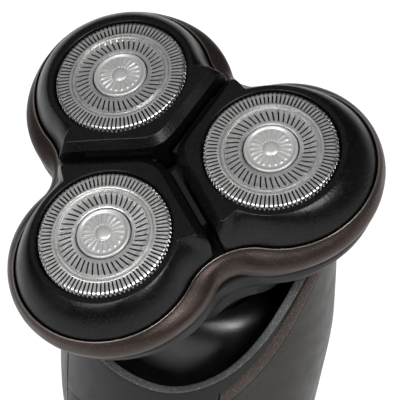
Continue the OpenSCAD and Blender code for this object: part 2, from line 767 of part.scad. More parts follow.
// Distances from the disc's centre, in direction a, to the edges of its petal
function exit_circle(c, r, a) =
    let (q = [disc_r, 0] - c, b = q * [cos(a), sin(a)], d = b * b - (q * q - r * r))
    d < 0 ? 99 : -b + sqrt(d);
function enter_circle(c, r, a) =
    let (q = [disc_r, 0] - c, b = q * [cos(a), sin(a)], d = b * b - (q * q - r * r))
    d < 0 || b > 0 ? 99 : -b - sqrt(d);
// Direction, from the disc's centre, of the point where the lobe's circle meets the fillet
function tangent_dir(o) =
    let (c = fillet_centre(o), v = c - [o[0], 0], p = [o[0] - disc_r, 0] + o[1] * v / norm(v))
    atan2(p[1], p[0]);
function outer_edge(a) =
    let (o = petal_outline, c = fillet_centre(o), r = fillet_r(o), f = abs((a + 540) % 360 - 180))
    f < tangent_dir(o) ? exit_circle([o[0], 0], o[1], f) : enter_circle(c, r, f);
function gap_edge(a) =
    let (
        h = disc_r * sin(60) - gap_half,
        c1 = -cos(30) * cos(a) + sin(30) * sin(a),
        c2 = -cos(30) * cos(a) - sin(30) * sin(a),
        p = 12
    )
    c1 <= 0.05 && c2 <= 0.05 ? 99
    : h * pow(pow(max(c1, 0.001), p) + pow(max(c2, 0.001), p), -1 / p);
function disc_pt(r, a, z) = [
    disc_r + r * cos(a) * cos(disc_lean) + z * sin(disc_lean),
    r * sin(a),
    disc_h - r * cos(a) * sin(disc_lean) + z * cos(disc_lean)
];
function head_pt(r, a, z) = [disc_r + r * cos(a), r * sin(a), z];

function petal_profile(a) =
    let (
        oe = outer_edge(a),
        ge = gap_edge(a),
        edge = min(oe, ge),
        w = 1 / (1 + pow(oe / ge, 30)),
        flat = max(petal_flat_r, edge - mix(1.45, 4.3, w)),
        top = disc_pt(flat, a, -petal_drop)[2],
        low = mix(top - 1.25, band_top, w),
        bottom = mix(22.9, 22.4, w),
        slope_pt = function(t)
            head_pt(
                mix(flat, edge, mix(t, sin(slope_turn * t) / sin(slope_turn), 0.6 * w)), a,
                mix(top, low, mix(t, (1 - cos(slope_turn * t)) / (1 - cos(slope_turn)), 0.6 * w))
            )
    )
    [
        disc_pt(petal_bore_r, a, petal_tube_z),
        disc_pt(petal_bore_r, a, -petal_drop - 0.3),
        disc_pt(petal_bore_r + 0.25, a, -petal_drop),
        slope_pt(0), slope_pt(0.3), slope_pt(0.6), slope_pt(0.82), slope_pt(1),
        head_pt(edge, a, bottom),
        head_pt(edge - 1, a, bottom),
        head_pt(edge - 1.05, a, 25.1),
        head_pt(edge - 1.35, a, top - 2.1),
        disc_pt(petal_tube_r + 0.15, a, -2.2),
        disc_pt(petal_tube_r, a, -2.4),
        disc_pt(petal_tube_r, a, petal_tube_z)
    ];

module petal(k) color(petal_black) at_lobe(k) {
    n = 56;
    profiles = [for (i = [0 : n - 1]) petal_profile(-360 * i / n)];
    ring_solid([for (j = [0 : len(profiles[0]) - 1]) [for (p = profiles) p[j]]]);
    for (s = [-1, 1]) translate([disc_r, 0, trunnion_z]) rotate([-90 * s, 0, 0])
        translate([0, 0, petal_bore_r + 0.2]) cylinder(r = trunnion_r, h = 2.2, $fn = 48);
}

module retainer(k) color([0.5, 0.5, 0.5]) at_disc(k) translate([0, 0, petal_tube_z + 0.1]) {
    difference() {
        cylinder(r = petal_bore_r - 0.08, h = 0.9, $fn = 72);
        translate([0, 0, -1]) cylinder(r = 10.3, h = 3, $fn = 72);
    }
    difference() {
        union() {
            cylinder(r = 5.4, h = 0.7, $fn = 64);
            for (a = [60, 180, 300]) rotate([0, 0, a]) translate([4.6, -0.8, 0]) cube([6, 1.6, 0.7]);
        }
        translate([0, 0, -1]) cylinder(r = 4.3, h = 3, $fn = 64);
    }
}

// ---- Guard, cap, cutter and driver ---------------------------------------

module guard(k) color(steel) at_disc(k) difference() {
    rotate_extrude($fn = 120) polygon([
        [4.6, -1.5], [4.6, -0.1], [4.7, 0], [7.9, 0], [7.95, -0.3], [8.35, -0.3], [8.4, 0],
        [guard_r - 0.3, 0], [guard_r, -0.3], [guard_r, -3.2], [10.35, -3.2], [10.35, -0.7],
        [5.2, -0.7], [5.2, -1.5]
    ]);
    for (i = [0 : inner_slots - 1]) rotate([0, 0, 360 * i / inner_slots])
        translate([5.4, -0.21, -2]) cube([2.3, 0.42, 3]);
    for (i = [0 : outer_slots - 1]) rotate([0, 0, 360 * i / outer_slots])
        translate([8.7, -0.17, -1.1]) cube([3, 0.34, 3]);
}

module cap(k) color(bright) at_disc(k) rotate_extrude($fn = 96) polygon([
    [0, -1.6], [1.4, -1.6], [1.4, -0.9], [4.45, -0.9], [4.45, 0.15], [4.25, 0.3], [3.9, 0.3],
    [3.6, 0.1], [1.4, 0.15], [1.0, 0.35], [0, 0.45]
]);

module cutter(k) color(steel) at_disc(k) {
    difference() {
        union() {
            translate([0, 0, -3.4]) cylinder(r = 5.6, h = 0.8, $fn = 72);
            translate([0, 0, -2.7]) cylinder(r = 3.2, h = 0.8, $fn = 64);
        }
        translate([0, 0, -4]) cylinder(r = cutter_plug_r + 0.05, h = 5, $fn = 48);
    }
    for (i = [0 : blades - 1]) rotate([0, 0, 360 * i / blades]) translate([5.3, 0, -3.4])
        rotate([0, 0, 12]) translate([0, -0.3, 0]) cube([4.7, 0.6, 2.35]);
}

module driver(k) color(nylon) at_disc(k) difference() {
    union() {
        translate([0, 0, -7.5]) cylinder(r = driver_r, h = 4.05, $fn = 64);
        translate([0, 0, -4]) cylinder(r = cutter_plug_r, h = 1.9, $fn = 48);
    }
    translate([0, 0, -8]) cylinder(r = 2.7, h = 3.7, $fn = 64);
}

// ---- The assembly --------------------------------------------------------

rear_shell();
front_panel();
display_window();
bronze_trim();
scoop_collar();
base_cap();
base_screws();
charging_socket();
socket_pins();
chassis();
battery();
battery_tabs();
circuit_board();
tact_switch();
power_button();
button_seal();
motor();
motor_bracket();
motor_screws();
motor_shaft();
rotor_core();
cross_pin();
neck_post();
neck_seal();
gimbal_ring();
gimbal_pins();
drive_housing();
gear_carrier();
drive_bush();
drive_sleeve();
sun_gear();
hair_chamber();
lid_frame();
head_band();
spindle(0);  // front_spindle
spindle(1);  // right_spindle
spindle(2);  // left_spindle
spring(0);  // front_spring
spring(1);  // right_spring
spring(2);  // left_spring
driver(0);  // front_driver
driver(1);  // right_driver
driver(2);  // left_driver
cutter(0);  // front_cutter
cutter(1);  // right_cutter
cutter(2);  // left_cutter
retainer(0);  // front_retainer
retainer(1);  // right_retainer
retainer(2);  // left_retainer
petal(0);  // front_petal
petal(1);  // right_petal
petal(2);  // left_petal
guard(0);  // front_guard
guard(1);  // right_guard
guard(2);  // left_guard
cap(0);  // front_cap
cap(1);  // right_cap
cap(2);  // left_cap
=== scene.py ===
import math

import bmesh
import bpy
import numpy as np
from mathutils import Matrix, Vector


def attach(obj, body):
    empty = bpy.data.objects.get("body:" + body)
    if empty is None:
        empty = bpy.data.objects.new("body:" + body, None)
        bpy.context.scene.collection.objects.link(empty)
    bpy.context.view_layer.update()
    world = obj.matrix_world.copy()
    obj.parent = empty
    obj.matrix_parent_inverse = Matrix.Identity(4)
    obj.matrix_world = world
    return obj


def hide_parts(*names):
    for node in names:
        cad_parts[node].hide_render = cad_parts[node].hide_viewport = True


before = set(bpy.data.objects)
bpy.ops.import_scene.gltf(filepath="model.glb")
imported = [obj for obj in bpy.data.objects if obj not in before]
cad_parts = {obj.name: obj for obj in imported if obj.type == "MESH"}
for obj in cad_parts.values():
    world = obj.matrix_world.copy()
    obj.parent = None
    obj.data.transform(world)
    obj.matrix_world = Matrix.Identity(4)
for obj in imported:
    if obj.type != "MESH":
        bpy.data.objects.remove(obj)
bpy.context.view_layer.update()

# ---- Shared sizes of the part, in millimetres ------------------------------
MM = 0.001
PIVOT = 120.0
TILT = math.radians(17.0)
LEAN = math.radians(4.1)
DISC_R, DISC_H = 17.5, 30.0
GUARD_R = 11.0
GAP_HALF = 0.9
WALL = 1.6
BODY_Y = 20.0
BASE_TOP = 8.0
SEAM = PIVOT - 28
BUTTON_Z = 74.0
LOBES = {"front": 270.0, "right": 30.0, "left": 150.0}
X_STATIONS = [(0, 16.8), (5, 18.4), (28, 19.6), (60, 20.4), (84, 23.7), (103, 25.1), (111, 25.5), (140, 25.5)]
Y_STATIONS = [(0, 14.2), (5, 15.6), (28, 16.6), (60, 16.8), (84, 18.6), (103, 19.7), (111, 20.0), (140, 20.0)]
CENTRE_STATIONS = [
    (0, 0), (28, -2.2), (60, -4.4), (80, -4), (88, -3.1), (97, -1.6), (105, -0.3), (111, 0), (140, 0),
]
PANEL_STATIONS = [(0, 12), (55, 12), (88, 15.5), (140, 15.5)]
SKIN_EASE = 0.004  # Keeps the finely drawn skin inside the part's own box
BAND_EASE = 0.006  # The same for the band round the head
HOUSING_EASE = 0.3  # The drive housing is drawn this far inside its part, to clear the collar in a roll


def sind(a):
    return math.sin(math.radians(a))


def cosd(a):
    return math.cos(math.radians(a))


def mix(a, b, t):
    return a + (b - a) * t


def clamp(x, a=0.0, b=1.0):
    return max(a, min(b, x))


def smooth(a, b, x):
    t = clamp((x - a) / (b - a))
    return t * t * (3 - 2 * t)


def soft_max(a, b, k):
    return (a + b + math.sqrt((a - b) ** 2 + k * k)) / 2


def soft_min(a, b, k):
    return (a + b - math.sqrt((a - b) ** 2 + k * k)) / 2


def along(tab, z):
    """A smooth curve through (position, value) stations."""
    i = 0
    while i < len(tab) - 2 and z >= tab[i + 1][0]:
        i += 1

    def slope(k):
        if k == 0 or k == len(tab) - 1:
            return 0.0
        return (tab[k + 1][1] - tab[k - 1][1]) / (tab[k + 1][0] - tab[k - 1][0])

    h = tab[i + 1][0] - tab[i][0]
    t = (z - tab[i][0]) / h
    a, b = tab[i][1], tab[i + 1][1]
    curve = a * (1 + t * t * (2 * t - 3)) + b * t * t * (3 - 2 * t)
    return curve + h * t * (1 - t) * (slope(i) * (1 - t) - slope(i + 1) * t)


# ---- Handle surface --------------------------------------------------------
def skin_pt(u, z, inset=0.0):
    """u goes round the handle in degrees from the front, towards +X."""
    inset += SKIN_EASE
    return (
        (along(X_STATIONS, z) - inset) * sind(u),
        along(CENTRE_STATIONS, z) - (along(Y_STATIONS, z) - inset) * cosd(u),
        z,
    )


def panel_edge(z):
    return math.degrees(math.asin(along(PANEL_STATIONS, z) / along(X_STATIONS, z)))


def rim_at(y):
    return PIVOT + soft_min(soft_max(-18 + 1.65 * (y + BODY_Y), -17.2, 2), 12.5, 5)


def rim_z(u):
    return rim_at(-BODY_Y * cosd(u))


def fold(u):
    """Degrees from the front, whichever side."""
    return abs((u + 180) % 360 - 180)


def trim_z(u):
    return rim_z(u) - 3.3 * clamp((88 - fold(u)) / 48) ** 1.15


def shell_top(u):
    return rim_at(-BODY_Y * cosd(u) - 1.3) - 1.4 - (rim_z(u) - trim_z(u))


def back_u(s, z):
    """Direction of sample s, from 0 to 1, round the back at height z."""
    e = panel_edge(z) + 0.8
    return mix(e, 360 - e, s)


def seam_z(u):
    """Height of the seam between the collar and the front panel, lowest at the panel's edges."""
    return SEAM - 3.4 * (sind(u) / sind(panel_edge(SEAM))) ** 2


# ---- Head surfaces ---------------------------------------------------------
def fillet(o):
    d, r, n = o
    rf = (n * n + d * d - d * n - r * r) / (2 * r - 2 * n + d)
    return rf, ((n + rf) * 0.5, (n + rf) * math.sqrt(3) / 2)


def trefoil_r(o, a):
    rf, c = fillet(o)
    w = (a - 30) % 120
    f = 120 - w if w > 60 else w
    v = (c[0] - o[0], c[1])
    s = o[1] / math.hypot(*v)
    if f < math.degrees(math.atan2(v[1] * s, o[0] + v[0] * s)):
        return o[0] * cosd(f) + math.sqrt(o[1] ** 2 - (o[0] * sind(f)) ** 2)
    d = o[2] + rf
    return d * cosd(60 - f) - math.sqrt(rf * rf - (d * sind(60 - f)) ** 2)


CHAMBER = (17.3, 17.6, 20.8)


def neck_dip(a):
    """How far the head's outline dips: nothing on the lobes, most at the necks."""
    w = (a - 30) % 120
    return 1.6 * smooth(34, 60, min(w, 120 - w))


def bowl_r(a, z, inset):
    """The head's bowl at height z: a trefoil that a shallow cone cuts from below, tucked in near its rim."""
    w = (a - 30) % 120
    tuck = mix(2.6, 5.2, smooth(2, 20, min(w, 120 - w)))
    slope = math.radians(28)
    t = trefoil_r(CHAMBER, a) - inset
    c = (z + 1.2) / math.tan(slope) - inset / math.sin(slope)
    c -= tuck * (smooth(10.8, 13.6, z) - smooth(15.5, 18.5, z))
    return t * (1 + (t / max(c, 1)) ** 14) ** (-1 / 14)


PETAL = (19.0, 14.9, 18.5)


def petal_edges(a):
    """From the disc's centre, in direction a: distance to the petal's outer edge and to the gap."""
    f = abs((a + 540) % 360 - 180)
    rf, c = fillet(PETAL)
    v = (c[0] - PETAL[0], c[1])
    s = PETAL[1] / math.hypot(*v)
    tangent = math.degrees(math.atan2(v[1] * s, PETAL[0] - DISC_R + v[0] * s))

    def ray(centre, r, near):
        q = (DISC_R - centre[0], -centre[1])
        b = q[0] * cosd(f) + q[1] * sind(f)
        d = b * b - (q[0] ** 2 + q[1] ** 2 - r * r)
        if d < 0 or (near and b > 0):
            return 99.0
        return -b - math.sqrt(d) if near else -b + math.sqrt(d)

    outer = ray((PETAL[0], 0), PETAL[1], False) if f < tangent else ray(c, rf, True)
    h = DISC_R * sind(60) - GAP_HALF
    c1 = max(-cosd(30) * cosd(a) + sind(30) * sind(a), 0.001)
    c2 = max(-cosd(30) * cosd(a) - sind(30) * sind(a), 0.001)
    gap = 99.0 if max(c1, c2) <= 0.05 else h * (c1**12 + c2**12) ** (-1 / 12)
    return outer, gap


def head_row(p):
    """Points in the head's own frame, in millimetres, to the row frame."""
    p = np.asarray(p, float)
    x, y, z = p[..., 0], p[..., 1], p[..., 2]
    c, s = math.cos(TILT), math.sin(TILT)
    return np.stack([x, y * c - z * s, PIVOT + y * s + z * c], -1)


def lobe_row(k, p):
    p = np.asarray(p, float)
    c, s = cosd(LOBES[k]), sind(LOBES[k])
    return head_row(np.stack([p[..., 0] * c - p[..., 1] * s, p[..., 0] * s + p[..., 1] * c, p[..., 2]], -1))


def disc_pt(r, a, z):
    return (
        DISC_R + r * cosd(a) * math.cos(LEAN) + z * math.sin(LEAN),
        r * sind(a),
        DISC_H - r * cosd(a) * math.sin(LEAN) + z * math.cos(LEAN),
    )


def disc_matrix(k):
    return (
        Matrix.Translation((0, 0, PIVOT * MM))
        @ Matrix.Rotation(TILT, 4, "X")
        @ Matrix.Rotation(math.radians(LOBES[k]), 4, "Z")
        @ Matrix.Translation((DISC_R * MM, 0, DISC_H * MM))
        @ Matrix.Rotation(LEAN, 4, "Y")
    )


# ---- Mesh making -----------------------------------------------------------
def finish_mesh(name, verts, faces, mats, face_mats=None, sharp=35.0, matrix=None):
    me = bpy.data.meshes.new(name)
    me.from_pydata([tuple(v) for v in np.asarray(verts, float) * MM], [], faces)
    for m in mats:
        me.materials.append(m)
    if face_mats is not None:
        me.polygons.foreach_set("material_index", np.asarray(face_mats, np.int32))
    bm = bmesh.new()
    bm.from_mesh(me)
    bmesh.ops.remove_doubles(bm, verts=bm.verts, dist=1e-7)
    bmesh.ops.recalc_face_normals(bm, faces=bm.faces)
    bm.to_mesh(me)
    bm.free()
    me.polygons.foreach_set("use_smooth", [True] * len(me.polygons))
    me.set_sharp_from_angle(angle=math.radians(sharp))
    ob = bpy.data.objects.new(name, me)
    bpy.context.scene.collection.objects.link(ob)
    if matrix is not None:
        ob.matrix_world = matrix
    return ob


def grid(
    name, rows, mats, around=True, loop=False, ends=False, row_mats=None, keep=None, sharp=35.0, matrix=None,
):
    """A mesh from rows of points. around joins each row's ends, loop joins the last row to the
    first, and ends closes a looped sheet's two open sides."""
    p = np.asarray(rows, float)
    m, n = p.shape[:2]
    faces, marks = [], []
    for i in range(m if loop else m - 1):
        k = (i + 1) % m
        for j in range(n if around else n - 1):
            if keep is not None and not keep(i, j):
                continue
            q = (j + 1) % n
            faces.append((i * n + j, i * n + q, k * n + q, k * n + j))
            marks.append(row_mats[i] if row_mats else 0)
    if ends:
        for j in (0, n - 1):
            for i in range(m // 2 - 1):
                a, b = i, i + 1
                faces.append((a * n + j, b * n + j, (m - 1 - b) * n + j, (m - 1 - a) * n + j))
                marks.append(0)
    return finish_mesh(name, p.reshape(-1, 3), faces, mats, marks, sharp, matrix)


def plate(name, outer, inner, mat):
    """A closed sheet: the outer face's rows upwards, then the inner face's back down."""
    rows = list(outer) + list(inner)[::-1]
    return grid(name, rows, [mat], around=False, loop=True, ends=True)


def round_corners(points, share=0.16, times=2, limit=None):
    """Cuts each corner of a closed outline, so that it is rounded the same way at every station."""
    p = np.asarray(points, float)
    for _ in range(times):
        nxt = np.roll(p, -1, axis=0)
        d = nxt - p
        cut = np.full(len(p), share)
        if limit:
            size = np.maximum(np.linalg.norm(d, axis=-1), 1e-9)
            cut = np.minimum(share, limit / size)
        a = p + d * cut[:, None]
        b = nxt - d * cut[:, None]
        p = np.stack([a, b], 1).reshape(-1, p.shape[-1])
        if limit:
            limit *= 0.5
    return p


def spline(points, count):
    """Catmull-Rom through points, count samples in all."""
    p = np.asarray(points, float)
    n = len(p) - 1
    ext = np.vstack([2 * p[0] - p[1], p, 2 * p[-1] - p[-2]])
    out = []
    for t in np.linspace(0, n, count):
        i = min(int(t), n - 1)
        f = t - i
        a, b, c, d = ext[i : i + 4]
        square, cube = 2 * a - 5 * b + 4 * c - d, 3 * b - a - 3 * c + d
        out.append(0.5 * ((2 * b) + (c - a) * f + square * f * f + cube * f**3))
    return np.array(out)


def tube_faces(m, n):
    """Faces of m stacked rings of n points, without the two ends."""
    return [
        (i * n + j, i * n + (j + 1) % n, (i + 1) * n + (j + 1) % n, (i + 1) * n + j)
        for i in range(m - 1)
        for j in range(n)
    ]


def capped(m, n):
    """The same with its first and last ring closed."""
    return [*tube_faces(m, n), tuple(range(n)), tuple((m - 1) * n + j for j in range(n))]


def soften(ob, width, segments=2, angle=35.0):
    mod = ob.modifiers.new("edges", "BEVEL")
    mod.width = width * MM
    mod.segments = segments
    mod.limit_method = "ANGLE"
    mod.angle_limit = math.radians(angle)
    mod.harden_normals = True
    return ob


# ---- Materials -------------------------------------------------------------
def material(
    name, color, rough, metallic=0.0, mottle=0.15, mottle_scale=90.0, grain=0.0, grain_scale=3500.0,
    fleck=0.0, fleck_color=(1, 1, 1), fleck_scale=3800.0, rough_vary=0.06, specular=0.5, coat=0.0,
    brushed=None,
):
    m = bpy.data.materials.new(name)
    m.use_nodes = True
    nt = m.node_tree
    bsdf = nt.nodes["Principled BSDF"]
    bsdf.inputs["Metallic"].default_value = metallic
    bsdf.inputs["Specular IOR Level"].default_value = specular
    bsdf.inputs["Coat Weight"].default_value = coat
    bsdf.inputs["Coat Roughness"].default_value = 0.15
    coords = nt.nodes.new("ShaderNodeTexCoord")

    def noise(scale, detail=2.0, source=None):
        n = nt.nodes.new("ShaderNodeTexNoise")
        n.inputs["Scale"].default_value = scale
        n.inputs["Detail"].default_value = detail
        nt.links.new(source or coords.outputs["Object"], n.inputs["Vector"])
        return n.outputs["Fac"]

    def remap(value, a, b, lo, hi):
        r = nt.nodes.new("ShaderNodeMapRange")
        for k, v in zip(("From Min", "From Max", "To Min", "To Max"), (a, b, lo, hi)):
            r.inputs[k].default_value = v
        nt.links.new(value, r.inputs["Value"])
        return r.outputs["Result"]

    def blend_colour(fac, a, b):
        c = nt.nodes.new("ShaderNodeMix")
        c.data_type = "RGBA"
        nt.links.new(fac, c.inputs["Factor"])
        for socket, v in ((c.inputs[6], a), (c.inputs[7], b)):
            if isinstance(v, tuple):
                socket.default_value = (*v, 1)
            else:
                nt.links.new(v, socket)
        return c.outputs[2]

    low = tuple(c * (1 - mottle) for c in color)
    high = tuple(min(1, c * (1 + mottle)) for c in color)
    shade = blend_colour(remap(noise(mottle_scale, 4), 0.35, 0.65, 0, 1), low, high)
    if fleck:
        specks = remap(noise(fleck_scale, 1), 0.56, 0.70, 0, fleck)
        shade = blend_colour(specks, shade, tuple(fleck_color))
    nt.links.new(shade, bsdf.inputs["Base Color"])
    nt.links.new(
        remap(noise(mottle_scale * 3.1, 3), 0.3, 0.7, rough - rough_vary, rough + rough_vary),
        bsdf.inputs["Roughness"],
    )
    if grain:
        bump = nt.nodes.new("ShaderNodeBump")
        bump.inputs["Strength"].default_value = grain
        bump.inputs["Distance"].default_value = 0.0001
        source = None
        if brushed == "radial":
            # Fine lines that run from the middle to the rim: noise over direction only
            split = nt.nodes.new("ShaderNodeSeparateXYZ")
            nt.links.new(coords.outputs["UV"], split.inputs[0])
            joined = nt.nodes.new("ShaderNodeCombineXYZ")
            nt.links.new(split.outputs["X"], joined.inputs["X"])
            source = joined.outputs[0]
        nt.links.new(noise(grain_scale, 3, source), bump.inputs["Height"])
        nt.links.new(bump.outputs["Normal"], bsdf.inputs["Normal"])
    return m


M = {
    "petal": material(
        "petal_black", (0.0022, 0.0022, 0.0023), 0.31, grain=0.35, grain_scale=2600, fleck=0.008,
        specular=0.22,
    ),
    "frame": material("frame_black", (0.004, 0.004, 0.0042), 0.42, grain=0.2),
    "collar": material(
        "collar_black", (0.002, 0.0021, 0.0023), 0.36, grain=0.2, grain_scale=2600, fleck=0.006,
        specular=0.24,
    ),
    "scoop": material(
        "scoop_black", (0.002, 0.0021, 0.0022), 0.38, grain=0.2, grain_scale=2600, fleck=0.004,
        specular=0.6,
    ),
    # Light grey for the collar's rounded lip, among near black parts: a painted highlight along the lip's
    # curve.
    "lip": material("lip_grey_painted_highlight", (0.075, 0.077, 0.079), 0.38, grain=0.35, grain_scale=2600, fleck=0.15),
    "panel": material("panel_black", (0.0015, 0.0016, 0.0018), 0.30, grain=0.1, fleck=0.003, specular=0.08),
    "window": material(
        "smoked_window", (0.004, 0.004, 0.005), 0.16, mottle=0.05, coat=0.15, rough_vary=0.02, specular=0.25,
    ),
    "band": material(
        "bronze_band", (0.034, 0.0235, 0.020), 0.42, metallic=0.7, grain=0.25, fleck=0.08,
        fleck_color=(0.45, 0.30, 0.27), fleck_scale=4200,
    ),
    # A much lighter bronze for the band's rounded top edge: a painted highlight along that edge.
    "band_painted_highlight": material("bronze_edge_painted_highlight", (0.22, 0.185, 0.17), 0.32, metallic=0.9, grain=0.1),
    "stripe": material(
        "bronze_stripe", (0.036, 0.024, 0.020), 0.45, metallic=0.4, grain=0.4, fleck=0.15,
        fleck_color=(0.5, 0.36, 0.33), fleck_scale=4200,
    ),
    "shell": material(
        "shell_bronze_grey", (0.026, 0.024, 0.0215), 0.42, metallic=0.6, grain=0.12, fleck=0.015,
    ),
    "chamber": material("chamber_grey", (0.008, 0.0092, 0.0088), 0.40, specular=0.12, grain=0.15),
    "housing": material("housing_grey", (0.005, 0.0056, 0.0054), 0.42, specular=0.15, grain=0.15),
    "guard": material(
        "guard_steel", (0.76, 0.76, 0.75), 0.32, metallic=1.0, mottle=0.05, mottle_scale=600, grain=0.25,
        grain_scale=160, brushed="radial",
    ),
    "cap": material(
        "cap_nickel", (0.47, 0.47, 0.465), 0.40, metallic=0.45, mottle=0.04, mottle_scale=900, grain=0.12,
    ),
    "steel": material("machined_steel", (0.45, 0.45, 0.45), 0.32, metallic=1.0, grain=0.15, grain_scale=1500),
    # Steel darkened far below bare steel so that the guard's slots read dark: painted shade in the slots, on
    # a steel cutter.
    "cutter": material("cutter_steel_painted_shade", (0.07, 0.07, 0.07), 0.45, metallic=1.0, grain=0.15, grain_scale=1500),
    "brass": material("brass", (0.62, 0.45, 0.18), 0.28, metallic=1.0, grain=0.1, mottle=0.08),
    "copper": material("wound_copper", (0.50, 0.22, 0.10), 0.35, metallic=1.0, grain=0.3, grain_scale=1800),
    "nylon": material("natural_nylon", (0.62, 0.62, 0.56), 0.5, mottle=0.05, grain=0.1),
    "rubber": material("rubber", (0.02, 0.02, 0.02), 0.7, grain=0.3),
    "inner": material("inner_black", (0.018, 0.018, 0.018), 0.55, grain=0.25),
    "board": material("solder_mask", (0.015, 0.10, 0.035), 0.3, mottle=0.2, mottle_scale=400, coat=0.3),
    "wrap": material("cell_wrap", (0.03, 0.08, 0.16), 0.3, mottle=0.08, coat=0.4),
    "button": material("button_bronze", (0.14, 0.11, 0.10), 0.35, metallic=0.8, grain=0.2, fleck=0.2),
}


def put(ob, body, slot, *nodes):
    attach(ob, body)
    if nodes:
        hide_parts(*nodes)
    return ob


# ---- Guards: a thin slotted shell, 45 inner and 90 outer slots --------------
GUARD_PROFILE = [
    (4.62, -0.9), (4.62, -0.18), (4.68, -0.05), (4.82, 0.0), (5.35, 0.0), (6.0, 0.0), (6.6, 0.0),
    (7.15, 0.0), (7.32, 0.04), (7.5, 0.02), (7.66, -0.18), (7.78, -0.34), (8.02, -0.36), (8.14, -0.2),
    (8.28, 0.0), (8.45, 0.05), (8.62, 0.03), (8.75, 0.0), (9.3, 0.0), (9.9, 0.0), (10.4, -0.01),
    (10.66, -0.05), (10.84, -0.15), (10.95, -0.32), (10.99, -0.55), (11.0, -0.85), (11.0, -1.2),
    (11.0, -2.2), (11.0, -3.2),
]
# Profile rows between which the inner and the outer slots run
INNER_ZONE = (4, 9)
OUTER_ZONE = (17, 25)


def guard_rows():
    """The profile turned round the disc, eight columns to a period. Only the inner slots slant."""
    slot_half = 0.135
    period, count = 8.0, 45
    rows = []
    for i, (r, z) in enumerate(GUARD_PROFILE):
        blend = clamp((i - INNER_ZONE[1]) / (OUTER_ZONE[0] - INNER_ZONE[1]))
        wide = math.degrees(slot_half / max(r, 5))
        slant = 5.0 * (clamp(r, 5.3, 7.6) - 5.3) / 2.3 * (1 - blend)
        rest = (period - 2 * wide) / 5
        inner = [-wide, 0, wide] + [wide + rest * q for q in (1, 2, 3, 4)] + [wide + rest * 4.5]
        outer = [-wide, 0, wide, 2, 4 - wide, 4, 4 + wide, 6]
        cols = [mix(a, b, blend) + slant for a, b in zip(inner, outer)]
        rows.append(
            [
                (r * cosd(period * k + c), r * sind(period * k + c), z)
                for k in range(count)
                for c in cols
            ]
        )
    return rows


def guard_keep(i, j):
    c = j % 8
    if INNER_ZONE[0] <= i < INNER_ZONE[1]:
        return c not in (0, 1)
    if OUTER_ZONE[0] <= i < OUTER_ZONE[1]:
        return c not in (0, 1, 4, 5)
    return True


CAP_PROFILE = [
    (4.45, -0.9), (4.45, 0.06), (4.42, 0.18), (4.32, 0.27), (4.18, 0.31), (4.02, 0.28), (3.88, 0.2),
    (3.76, 0.12), (3.6, 0.09), (3.45, 0.09), (3.38, 0.09), (3.3, 0.09), (3.2, 0.09), (3.05, 0.09),
    (2.85, 0.09), (2.6, 0.1), (2.35, 0.1), (2.1, 0.1), (1.85, 0.11), (1.65, 0.12), (1.5, 0.12), (1.4, 0.12),
    (1.3, 0.14), (1.22, 0.2), (1.12, 0.27), (0.95, 0.33), (0.7, 0.38), (0.4, 0.41), (0.15, 0.42),
]


def cap_rows():
    """The cap's profile turned round, with raised rays between its hub and its rim."""
    count, rays = 320, 20
    step = 360 / rays
    rows = []
    for r, z in CAP_PROFILE:
        row = []
        for j in range(count):
            a = 360 * j / count
            off = abs((a / step + 0.5) % 1 - 0.5) * step
            half = mix(0.13, 0.30, clamp((r - 1.4) / 2))
            across = math.radians(off) * r / half
            along_ray = smooth(1.36, 1.55, r) * (1 - smooth(3.2, 3.42, r))
            row.append((r * cosd(a), r * sind(a), z + 0.16 * (1 - smooth(0.45, 1.15, across)) * along_ray))
        rows.append(row)
    return rows


def place_disc(me, matrix):
    """Moves a disc's mesh to its lobe; each point keeps its direction and radius as a UV map."""
    co = np.empty(len(me.vertices) * 3)
    me.vertices.foreach_get("co", co)
    x, y, _ = co.reshape(-1, 3).T
    turn = np.stack([np.arctan2(y, x), np.hypot(x, y) / (GUARD_R * MM)], 1)
    index = np.empty(len(me.loops), int)
    me.loops.foreach_get("vertex_index", index)
    me.uv_layers.new(name="turn").data.foreach_set("uv", turn[index].astype(np.float32).ravel())
    me.transform(matrix)


guard_base, cap_base = guard_rows(), cap_rows()
for k in LOBES:
    g = grid(f"{k}_guard_foil", guard_base, [M["guard"]], keep=guard_keep, sharp=30)
    c = grid(f"{k}_cap_disc", cap_base, [M["cap"]], sharp=40)
    bm = bmesh.new()
    bm.from_mesh(c.data)
    edges = [e for e in bm.edges if e.is_boundary and e.verts[0].co.z > 0]
    bmesh.ops.edgeloop_fill(bm, edges=edges)
    bm.to_mesh(c.data)
    bm.free()
    for ob in (g, c):
        place_disc(ob.data, disc_matrix(k))
    for ob, t in ((g, 0.42), (c, 0.3)):
        thick = ob.modifiers.new("thickness", "SOLIDIFY")
        thick.thickness = t * MM
        thick.offset = -1
    soften(g, 0.035, 1, 40)
    put(g, f"{k}_guard", "guard_steel", f"{k}_guard")
    put(c, f"{k}_guard", "cap_metal", f"{k}_cap")


# ---- Petals ----------------------------------------------------------------
SLOPE_TURN = 62.0


